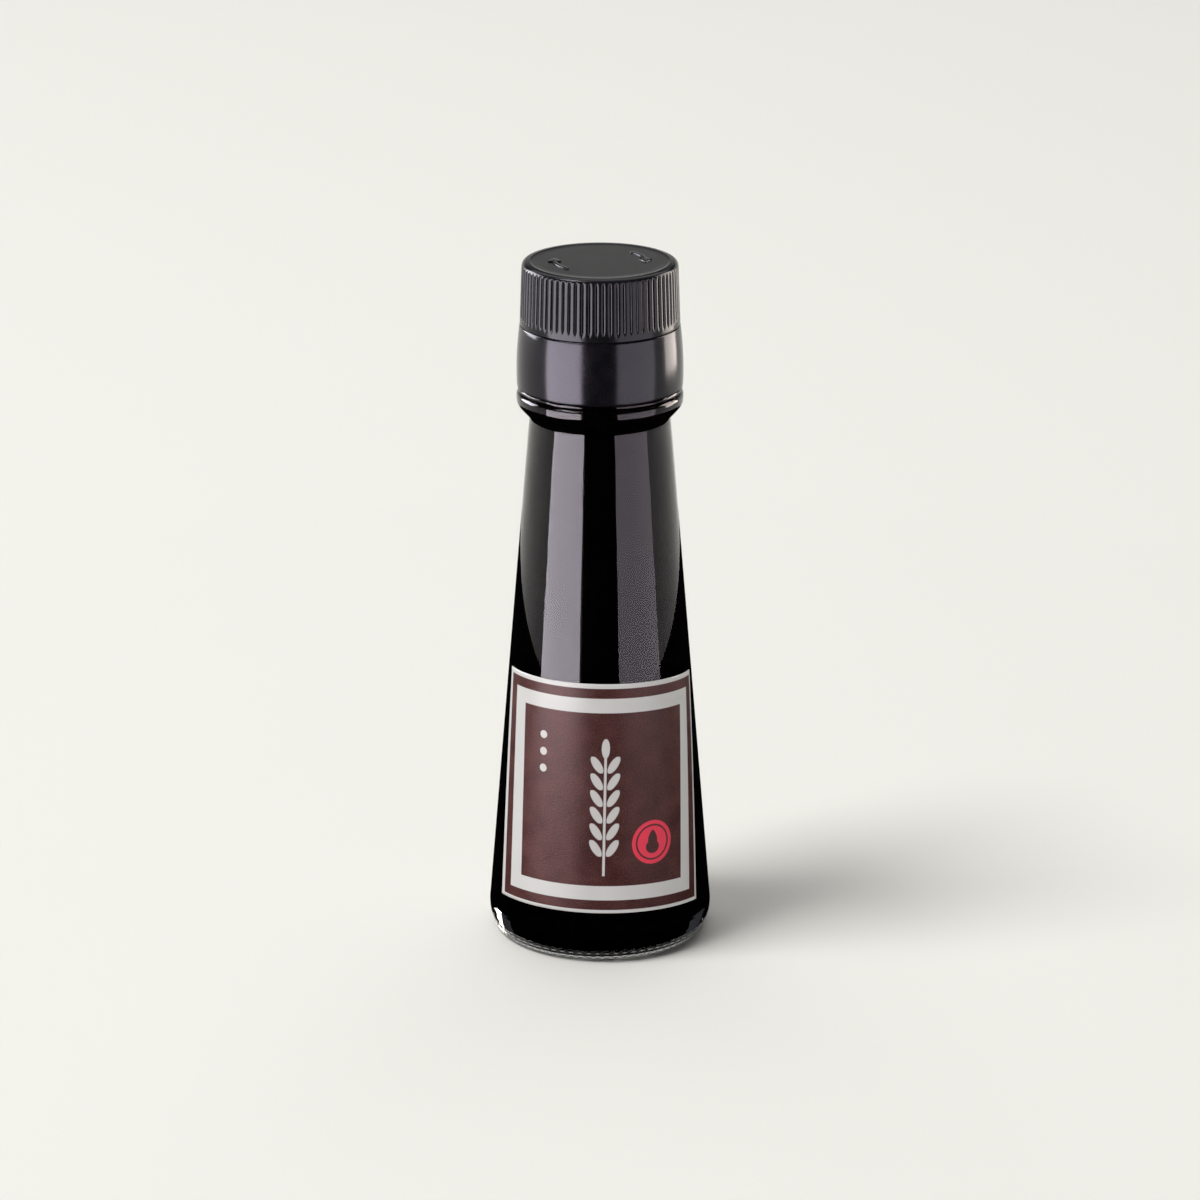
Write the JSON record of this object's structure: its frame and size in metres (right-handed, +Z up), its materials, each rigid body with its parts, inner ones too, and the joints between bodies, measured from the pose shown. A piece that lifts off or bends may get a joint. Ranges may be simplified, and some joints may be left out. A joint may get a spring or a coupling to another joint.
{
  "type": "soy sauce bottle",
  "caption": "Small tapered glass table bottle of soy sauce with a smooth pouring collar, a ribbed screw cap and a wrapped front label.",
  "frame": {"origin": "middle of the base, at table level", "axes": "+Z up along the bottle's axis, front label facing -Y"},
  "size_m": [0.047, 0.047, 0.1458],
  "materials": {
    "clear_glass": "clear, glossy, smooth",
    "dark_sauce": "almost black liquid",
    "collar_plastic": "satin black",
    "cap_plastic": "satin black",
    "label_paper": "printed paper with a slight gloss"
  },
  "bodies": {
    "root": {"glass_bottle": "clear_glass", "soy_sauce": "dark_sauce", "pour_collar": "collar_plastic", "screw_cap": "cap_plastic", "front_label": "label_paper"}
  },
  "joints": []
}
